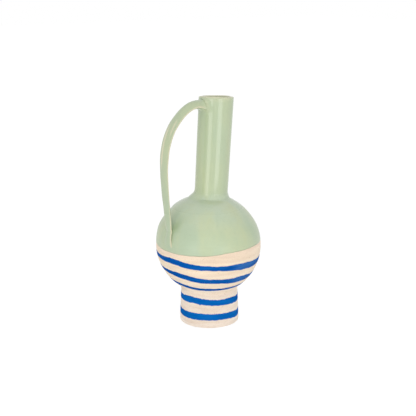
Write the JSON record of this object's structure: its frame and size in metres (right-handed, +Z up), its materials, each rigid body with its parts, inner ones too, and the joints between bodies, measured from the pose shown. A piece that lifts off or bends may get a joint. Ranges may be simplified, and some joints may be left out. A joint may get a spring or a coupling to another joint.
{
  "type": "bud vase",
  "caption": "Hand-built stoneware bud vase: round globe on a short foot, tall leaning neck, long strap handle, pale celadon glaze above bare cream clay with brushed cobalt-blue stripes.",
  "frame": {"origin": "centre of the foot's flat underside, where the vase stands", "axes": "+Z up along the vase, from foot to rim; the handle lies in the XZ plane towards -X; +X points away from the handle, the way the neck leans; +Y completes a right-handed set"},
  "size_m": [0.1179, 0.1151, 0.25],
  "materials": {
    "bare_clay": "bare fired stoneware, matte, fine grain",
    "celadon_glaze": "pale celadon glaze, glossy, thinner and yellower on edges",
    "blue_slip": "brushed cobalt slip, matte"
  },
  "bodies": {
    "root": {"base_slab": "bare_clay", "foot_wall": "bare_clay", "lower_bowl": "bare_clay", "upper_dome": "celadon_glaze", "neck_tube": "celadon_glaze", "neck_joint_coil": "celadon_glaze", "handle_strap": "celadon_glaze", "handle_top_lute": "celadon_glaze", "handle_tail_lute": "celadon_glaze", "slip_band_1": "blue_slip", "slip_band_2": "blue_slip", "slip_band_3": "blue_slip", "slip_band_4": "blue_slip", "slip_band_5": "blue_slip"}
  },
  "joints": []
}
